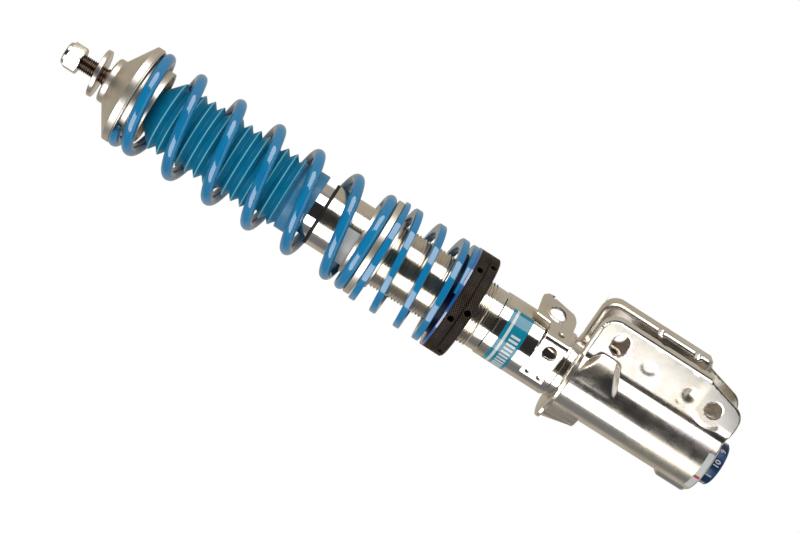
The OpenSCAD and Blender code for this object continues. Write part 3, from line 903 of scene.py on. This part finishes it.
WRAP_R = 25.25        # middle of the sheet round the housing
EAR_Y = 14.8          # middle of an ear's sheet
CREASE_R = 8.5        # rounding between wrap and ear
BEND_R = 2.4          # rounding between sheet and flange, at the sheet's middle
EAR_X = 57.7          # middle of the ears' outer flange
SHEET = 2.4
BOLT_R = 6.1          # the lower bolt's hole and the slot's ends
HOLE_X, HOLE_Z = 37.4, -483.45
SLOT_X, SLOT_Z = 41.0, -402.9
SLOT_HALF = 1.9       # from the slot's middle to the middle of its ends
CREASE_Y = EAR_Y + CREASE_R
CREASE_X = math.sqrt((WRAP_R + CREASE_R) ** 2 - CREASE_Y ** 2)
CREASE_TURN = math.atan2(CREASE_Y, CREASE_X)
WRAP_LEN = WRAP_R * (math.pi - CREASE_TURN)
CREASE_LEN = CREASE_R * (math.pi / 2 - CREASE_TURN)


def along_sheet(x):
    """Distance along the sheet from the middle of the wrap to an ear's point at x."""
    return WRAP_LEN + CREASE_LEN + x - CREASE_X


def wrap_point(s):
    """Point and outward direction of the bracket's sheet at distance s, near side positive."""
    d, side = abs(s), -1 if s >= 0 else 1
    if d <= WRAP_LEN:
        a = math.pi - d / WRAP_R
        x, y, nx, ny = WRAP_R * math.cos(a), WRAP_R * math.sin(a), math.cos(a), math.sin(a)
    elif d <= WRAP_LEN + CREASE_LEN:
        a = math.pi + CREASE_TURN + (d - WRAP_LEN) / CREASE_R
        nx, ny = -math.cos(a), -math.sin(a)
        x, y = CREASE_X + CREASE_R * math.cos(a), CREASE_Y + CREASE_R * math.sin(a)
    else:
        x, y, nx, ny = CREASE_X + d - WRAP_LEN - CREASE_LEN, EAR_Y, 0.0, 1.0
    return x, side * y, nx, side * ny


BRACKET = {
    "top": -383.6 - BEND_R,              # where the upper flange starts to bend
    "edge": along_sheet(EAR_X - BEND_R),  # where the ear's outer flange starts to bend
    "corner": 8.2,                       # corner radius along the bend's start
    "flange": 13.4,                      # flat length of bend and flange at the ears
    "collar": 9.5,                       # the same round the wrap
    "low": -502.6,
    "arch": -402.6,                      # middle of the gusset pressed across the crease
}
DARTS = (-427.5, -459.0)


def beyond_bend(s, z):
    """Distance past the bend's start, with the direction across it in the sheet."""
    dx = abs(s) - (BRACKET["edge"] - BRACKET["corner"])
    dz = z - (BRACKET["top"] - BRACKET["corner"])
    if dx > 0 and dz > 0:
        size = math.hypot(dx, dz)
        return size - BRACKET["corner"], dx / size, dz / size
    if dx > dz:
        return dx - BRACKET["corner"], 1.0, 0.0
    return dz - BRACKET["corner"], 0.0, 1.0


def pressed(s, z):
    """Height of the pressed shapes on the bracket's outside."""
    d = abs(s)
    hole = math.hypot(d - along_sheet(HOLE_X), z - HOLE_Z)
    pad = max(step_up(d, along_sheet(26.0), along_sheet(29.5)) * step_up(-z, 466.0, 472.0),
              1 - step_up(hole, 12.2, 14.8))
    height = 0.7 * pad
    shallow = math.hypot((d - along_sheet(37.6)) * 1.35, z + 428.6)
    height -= 0.16 * (1 - step_up(shallow, 4.4, 6.4))
    deep = math.hypot(d - along_sheet(37.6), z + 463.6)
    height -= 1.0 * (1 - step_up(deep, 1.0, 6.0)) * (1 - pad)
    pit = math.hypot(d - along_sheet(29.5), z + 459.0)
    height -= 0.12 * (1 - step_up(pit, 0.6, 2.0))
    bulge = (1 - step_up(d, 7, 11)) * step_up(-z, 476, 479.5) * (1 - step_up(-z, 499.5, 502.4))
    return height + 2.8 * bulge


def lay_bracket(s, z):
    """Place of the bracket's flat pattern in space."""
    over, ds, dz = beyond_bend(s, z)
    side = 1 if s >= 0 else -1
    past = max(over, 0.0)
    s0, z0 = s - side * ds * past, z - dz * past
    x, y, nx, ny = wrap_point(s0)
    lift = pressed(s0, z0)
    bend = min(past, BEND_R * math.pi / 2) / BEND_R
    out = BEND_R * (1 - math.cos(bend)) + max(past - BEND_R * math.pi / 2, 0.0)
    on = BEND_R * math.sin(bend)
    point = (x + nx * (lift + out) + ds * on, y + ny * (lift + out), z0 + dz * on)
    return arched(s, z, darted(s, z, over, ds, point))


def darted(s, z, over, ds, point):
    """Small gussets pressed into the bend of the ear's outer flange."""
    back, foot, half = 1.6, 2.2, 2.6   # reach into the ear and up the flange, half height
    first, last = -back, BEND_R * math.pi / 2 + foot
    near = max(1 - abs(z - dart) / half for dart in DARTS)
    if ds < 0.99 or not first < over < last or near <= 0:
        return point
    start = wrap_point(math.copysign(BRACKET["edge"] + first, s))
    end = (EAR_X, math.copysign(EAR_Y + BEND_R + foot, start[1]), z)
    chord = mixed((start[0], start[1], z), end, (over - first) / (last - first))
    return mixed(point, chord, step_up(near, 0.0, 0.5))


def arched(s, z, point):
    """The big gusset that bridges the crease between ear and wrap."""
    first, last = WRAP_R * math.radians(102), along_sheet(29.0)
    share = (abs(s) - first) / (last - first)
    if not 0 < share < 1:
        return point
    at_wrap, at_ear, soft, rise = 16.4, 6.4, 2.4, 2.4   # half heights, edge and bulge
    half = at_wrap + (at_ear - at_wrap) * share
    near = 1 - step_up(abs(z - BRACKET["arch"]), half - soft, half + soft)
    a = wrap_point(math.copysign(first, s))
    b = wrap_point(math.copysign(last, s))
    chord = mixed((a[0], a[1], z), (b[0], b[1], z), share)
    lift = rise * 4 * share * (1 - share)
    nx, ny = (b[1] - a[1], a[0] - b[0]) if s > 0 else (a[1] - b[1], b[0] - a[0])
    size = math.hypot(nx, ny)
    bulged = (chord[0] + nx / size * lift, chord[1] + ny / size * lift, z)
    return mixed(point, bulged, near)


def bracket_pattern():
    """Outline of one half of the bracket's flat pattern, from the wrap's top to its foot."""
    edge, top = BRACKET["edge"], BRACKET["top"]
    corner, flange, collar = BRACKET["corner"], BRACKET["flange"], BRACKET["collar"]
    tab = 6.0
    half = [(0, top + collar + tab), (8.0, top + collar + tab), (11.5, top + collar + tab - 2),
            (14.0, top + collar), (WRAP_LEN - 6.0, top + collar),
            (WRAP_LEN + CREASE_LEN, top + flange), (edge - corner, top + flange)]
    half += circle(edge - corner, top - corner, corner + flange, 90, 0, 12)[1:]
    half += [(edge + flange, -467.6), (edge + flange - 0.8, -468.6), (edge + 3.6, -469.6),
             (edge + 1.0, -470.6), (along_sheet(54.1), -472.4), (along_sheet(47.9), -495)]
    half += circle(along_sheet(37.0), -493.0, 11.1, -12, -82, 10)
    half += [(along_sheet(34.4), -504.4), (along_sheet(27), -504.3), (along_sheet(24), -503.4),
             (WRAP_LEN, BRACKET["low"]), (0, BRACKET["low"])]
    return half


def make_bracket():
    half = bracket_pattern()
    outer = half + [(-s, z) for s, z in reversed(half[1:-1])]
    holes = []
    for side in (1, -1):
        slot_s = side * along_sheet(SLOT_X)
        holes.append(circle(side * along_sheet(HOLE_X), HOLE_Z, BOLT_R))
        holes.append(circle(slot_s + SLOT_HALF, SLOT_Z, BOLT_R, -90, 90, 20)
                     + circle(slot_s - SLOT_HALF, SLOT_Z, BOLT_R, 90, 270, 20))
    piece = sheet_metal("knuckle_clamp", outer, holes, lay_bracket, SHEET, 1.25, "zinc_sheet")
    fit(piece, HOUSING, "zinc_sheet", "knuckle_bracket")
    fit(make_lug(), HOUSING, "zinc_sheet")
    fit(weld_bead("weld_upper", 26.0, -382.6, NEAR - 30, NEAR + 32, 1.5), HOUSING,
        "zinc_sheet")


def make_lug():
    """Folded wedge under the flange, on the side away from the ears."""
    half = [(-19.2, -18.7), (-24.4, -15.6), (-25.6, -14.2), (-30.4, -11.8), (-31.4, -10.2),
            (-35.2, -8.4), (-38.2, -5.0)]
    section = half + [(x, -y) for x, y in reversed(half)]
    section += [(-23.4, 9.0), (-25.1, 0.0), (-23.4, -9.0)]
    root, length = -24.6, 13.6
    verts = []
    for share, z in ((0.0, -385.2), (0.08, -387.2), (0.92, -408.0), (1.0, -409.6)):
        for x, y in section:
            lean = 1 - 0.42 * share * (root - x) / length
            verts.append((root + (x - root) * lean, y * (1 - 0.12 * share), z))
    piece = build("bracket_lug", verts, tube_faces(4, len(section)), "zinc_sheet")
    bevel(piece, 0.6, angle=20.0, segments=3)
    return piece


def weld_bead(name, radius, z, first, last, size):
    """A rippled weld bead round the housing."""
    rings, sides = int(abs(last - first) * 3), 14
    verts = []
    for i in range(rings + 1):
        share = i / rings
        a = math.radians(first + (last - first) * share)
        ripple = 0.82 + 0.18 * abs(math.sin(i * 0.42)) + 0.12 * noise.noise((i * 0.17, 0, 0))
        taper = min(1.0, 8 * share + 0.2, 8 * (1 - share) + 0.2)
        for k in range(sides):
            b = 2 * math.pi * k / sides
            r = radius + size * ripple * taper * math.cos(b)
            verts.append(polar(r, a, z + size * 0.8 * ripple * taper * math.sin(b)))
    return build(name, verts, tube_faces(rings + 1, sides), "zinc_sheet", sharp=80.0)


# ---------------------------------------------------------------- hose bracket

HOSE_BEND = math.radians(69)
HOSE_FOLD_R = 2.2
HOSE_LEFT = -11.0     # x of the plate's free edge
HOSE_FACE = -26.2     # middle of the face plate's sheet
HOSE_CORNER = 21.25   # where the middles of plate and arm would meet
HOSE_CUT = HOSE_FOLD_R * math.tan(HOSE_BEND / 2)
HOSE_FLAT = HOSE_CORNER - HOSE_CUT - HOSE_LEFT
HOSE_ARC = HOSE_FOLD_R * HOSE_BEND
CLIP_UP, CLIP_Z, CLIP_R = 26.3, -356.3, 6.4   # the hose clip's hole, up the arm
SPOTS = (-357.4, -366.8)                      # heights of the two spot welds


def lay_hose(s, z):
    """Place of the hose bracket's flat pattern in space."""
    x, y = HOSE_LEFT + min(s, HOSE_FLAT), HOSE_FACE
    nx, ny = 0.0, -1.0
    if s > HOSE_FLAT:
        a = min(s - HOSE_FLAT, HOSE_ARC) / HOSE_FOLD_R
        x += HOSE_FOLD_R * math.sin(a)
        y += HOSE_FOLD_R * (1 - math.cos(a))
        nx, ny = math.sin(a), -math.cos(a)
    rest = max(s - HOSE_FLAT - HOSE_ARC, 0.0)
    x += rest * math.cos(HOSE_BEND)
    y += rest * math.sin(HOSE_BEND)
    hole = math.hypot(s - hose_arm(CLIP_UP), z - CLIP_Z)
    lift = 0.9 * (1 - step_up(hole, CLIP_R, CLIP_R + 2.2))
    for spot in SPOTS:
        lift -= 0.5 * (1 - step_up(math.hypot(s - 3.4, z - spot), 0.7, 1.8))
    return x + nx * lift, y + ny * lift, z


def hose_arm(p):
    """Distance along the pattern of a point p millimetres up the arm."""
    return HOSE_FLAT + HOSE_ARC + p - HOSE_CUT


def make_hose_bracket():
    outer = [(0, -353.4), (0, -371.0), (0.6, -371.5), (HOSE_FLAT, -373.3)]
    outer += [(hose_arm(p), z) for p, z in (
        (6, -372.4), (17, -371.3), (25, -371.4), (29.5, -371), (33.5, -369.6),
        (36.5, -367.2), (42.2, -346.5), (42.4, -345.4), (41.8, -344.4), (38.5, -341.6),
        (37.3, -341.5), (15.9, -342), (14.5, -353.5), (6, -354.4))]
    outer += [(HOSE_FLAT, -354.6), (0.6, -352.7)]
    clip = circle(hose_arm(CLIP_UP), CLIP_Z, CLIP_R)
    small = circle(hose_arm(8), -364, 2.8, count=24)
    window = circle(11.8 - HOSE_LEFT, -363.6, 5.1, -150, 150, 32)
    piece = sheet_metal("hose_plate", outer, [clip, small, window], lay_hose, 2.0, 1.2,
                        "zinc_sheet", edge=0.3)
    fit(piece, HOUSING, "zinc_sheet", "hose_bracket")


# ---------------------------------------------------------------- adjuster knob

def wrapped_text(name, text, size, radius, turn, z, material):
    """A numeral printed on a cylinder, its top towards the knob's face."""
    curve = bpy.data.curves.new(name, "FONT")
    curve.body = text
    curve.size = size
    curve.align_x = "CENTER"
    curve.extrude = 0.06
    curve.offset = 0.1
    holder = add(name, curve)
    graph = bpy.context.evaluated_depsgraph_get()
    mesh = bpy.data.meshes.new_from_object(holder.evaluated_get(graph))
    bpy.data.objects.remove(holder)
    verts = []
    for v in mesh.vertices:
        a = math.radians(turn) + v.co.x / radius
        verts.append(polar(radius + v.co.z, a, z + v.co.y))
    faces = [tuple(p.vertices) for p in mesh.polygons]
    bpy.data.meshes.remove(mesh)
    return build(name, verts, faces, material)


def make_knob():
    radius, low, top = reach("adjuster_knob")
    seat = top - 2.1
    lathe("knob_body", [
        (0, top), (3.5, top, 0.3), (3.5, seat), (radius, seat, 0.3), (radius, low + 1.2, 0.4),
        (radius - 1.2, low, 0.4), (9.2, low, 0.4), (8.6, low + 1, 0.3), (0, low + 1)],
        "adjuster_knob", "knob_blue", "adjuster_knob", segments=128)
    positions, ticks = 10, 5
    step = 360 / positions
    for k in range(positions):
        turn = NEAR - 34 - step * k
        numeral = wrapped_text(f"numeral_{k + 1}", str(k + 1), 6.0, radius, turn,
                               low + 2.6, WHITE_PRINT)
        fit(numeral, "adjuster_knob", "knob_blue")
        for tick in range(ticks):
            at = turn - step / ticks * tick
            line = patch(f"tick_{k * ticks + tick}", radius - 0.02, 0.1, seat - 1.7, seat - 0.5,
                         at - 0.9, at + 0.9, WHITE_PRINT)
            fit(line, "adjuster_knob", "knob_blue")


# ---------------------------------------------------------------- stage, light and camera

LENS_MM = 85.5
DISTANCE = 1.349
ELEVATION = math.radians(2.9)
ROLL = math.radians(32.4)
TARGET_Z = -0.2441
TARGET_OFFSET = -0.0016


def camera_axes():
    """Unit vectors of the unrolled camera: right, up and back towards the camera."""
    turn = math.radians(90 + NEAR)
    right = Vector((math.cos(turn), math.sin(turn), 0))
    back = Vector((math.cos(ELEVATION) * math.sin(turn),
                   -math.cos(ELEVATION) * math.cos(turn), math.sin(ELEVATION)))
    return right, back.cross(right), back


def stand(name, data, place, *axes):
    """A new object at a place, with its own axes along three directions."""
    added = add(name, data)
    added.matrix_world = Matrix.Translation(place) @ Matrix(axes).transposed().to_4x4()
    return added


def make_camera():
    right, up, back = camera_axes()
    data = bpy.data.cameras.new("camera")
    data.lens = LENS_MM
    data.sensor_width = 36.0
    c, s = math.cos(ROLL), math.sin(ROLL)
    place = Vector((0, 0, TARGET_Z)) + right * TARGET_OFFSET + back * DISTANCE
    bpy.context.scene.camera = stand("camera", data, place, right * s - up * c,
                                     right * c + up * s, back)


def strip_light(name, turn, width):
    """A tall soft box beside the strut, at a direction measured from the camera's."""
    distance, low, high, radiance = 1.2, -0.55, 1.2, 4.0
    data = bpy.data.lights.new(name, "AREA")
    data.shape = "RECTANGLE"
    data.size = width
    data.size_y = high - low
    data.energy = radiance * math.pi * width * (high - low)
    out, up = Vector(polar(1, math.radians(NEAR + turn), 0)), Vector((0, 0, 1))
    middle = up * (TARGET_Z + (low + high) / 2)
    light = stand(name, data, out * distance + middle, up.cross(out), up, out)
    light.visible_camera = False


def make_world():
    """Warm surroundings behind, dark behind the camera, plain white where the camera looks."""
    world = bpy.data.worlds.new("surroundings")
    bpy.context.scene.world = world
    world.use_nodes = True
    world.node_tree.nodes.clear()
    graph = Graph(world.node_tree, "Generated")
    turn = graph.math("SUBTRACT", graph.turn(), math.radians(NEAR))
    turn = graph.math("WRAP", turn, math.pi, -math.pi)
    ring = graph.nodes.new("ShaderNodeValToRGB")
    graph.put(graph.span(turn, -math.pi, math.pi), ring.inputs["Fac"])
    beige, grey, dark = (0.50, 0.46, 0.39, 1), (0.33, 0.31, 0.28, 1), (0.03, 0.028, 0.03, 1)
    dim = (0.2, 0.2, 0.21, 1)
    stops = [(0, beige), (0.14, beige), (0.18, dim), (0.255, dim), (0.29, grey), (0.42, dark),
             (0.58, dark), (0.7, grey), (0.72, grey), (0.755, beige), (1, beige)]
    ramp_stops = ring.color_ramp.elements
    while len(ramp_stops) < len(stops):
        ramp_stops.new(0.5)
    for stop, (at, colour) in zip(ramp_stops, stops):
        stop.position = at
        stop.color = colour
    around = graph.nodes.new("ShaderNodeBackground")
    graph.put(ring.outputs["Color"], around.inputs["Color"])
    white = graph.nodes.new("ShaderNodeBackground")
    white.inputs["Color"].default_value = (1, 1, 1, 1)
    path = graph.nodes.new("ShaderNodeLightPath")
    choose = graph.nodes.new("ShaderNodeMixShader")
    graph.put(path.outputs["Is Camera Ray"], choose.inputs["Fac"])
    graph.put(around.outputs[0], choose.inputs[1])
    graph.put(white.outputs[0], choose.inputs[2])
    surroundings = graph.nodes.new("ShaderNodeOutputWorld")
    graph.put(choose.outputs[0], surroundings.inputs["Surface"])


def make_stage():
    half, height = 1200.0, -1200.0
    corners = [(-half, -half, height), (half, -half, height), (half, half, height),
               (-half, half, height)]
    floor = build("floor", corners, [(0, 1, 2, 3)],
                  surface("floor_white", (0.86, 0.86, 0.86, 1), (0.88, 0.88, 0.88, 1),
                          (0.7, 0.8), patch=2.0, grain=40.0, depth=0.1), weld=False)
    strip_light("upper_box", 51.5, 0.85)
    strip_light("lower_box", -51.75, 0.885)
    bpy.context.scene.view_settings.view_transform = "Standard"


# ---------------------------------------------------------------- assembly

def dress_cad_nodes():
    """Puts the record's finish on every CAD node that stays."""
    slots = {part["node"]: part["material_slot"] for part in frame["record"]["subparts"]}
    for name, node in frame["nodes"].items():
        material = MATERIALS.get(slots[name])
        if material is None:
            continue
        node.data.materials.clear()
        node.data.materials.append(material)


make_camera()
dress_cad_nodes()
make_top()
make_nut()
make_springs()
make_bellows()
make_tubes()
make_labels()
make_seats()
make_collars()
make_bracket()
make_hose_bracket()
make_knob()
make_stage()
make_world()
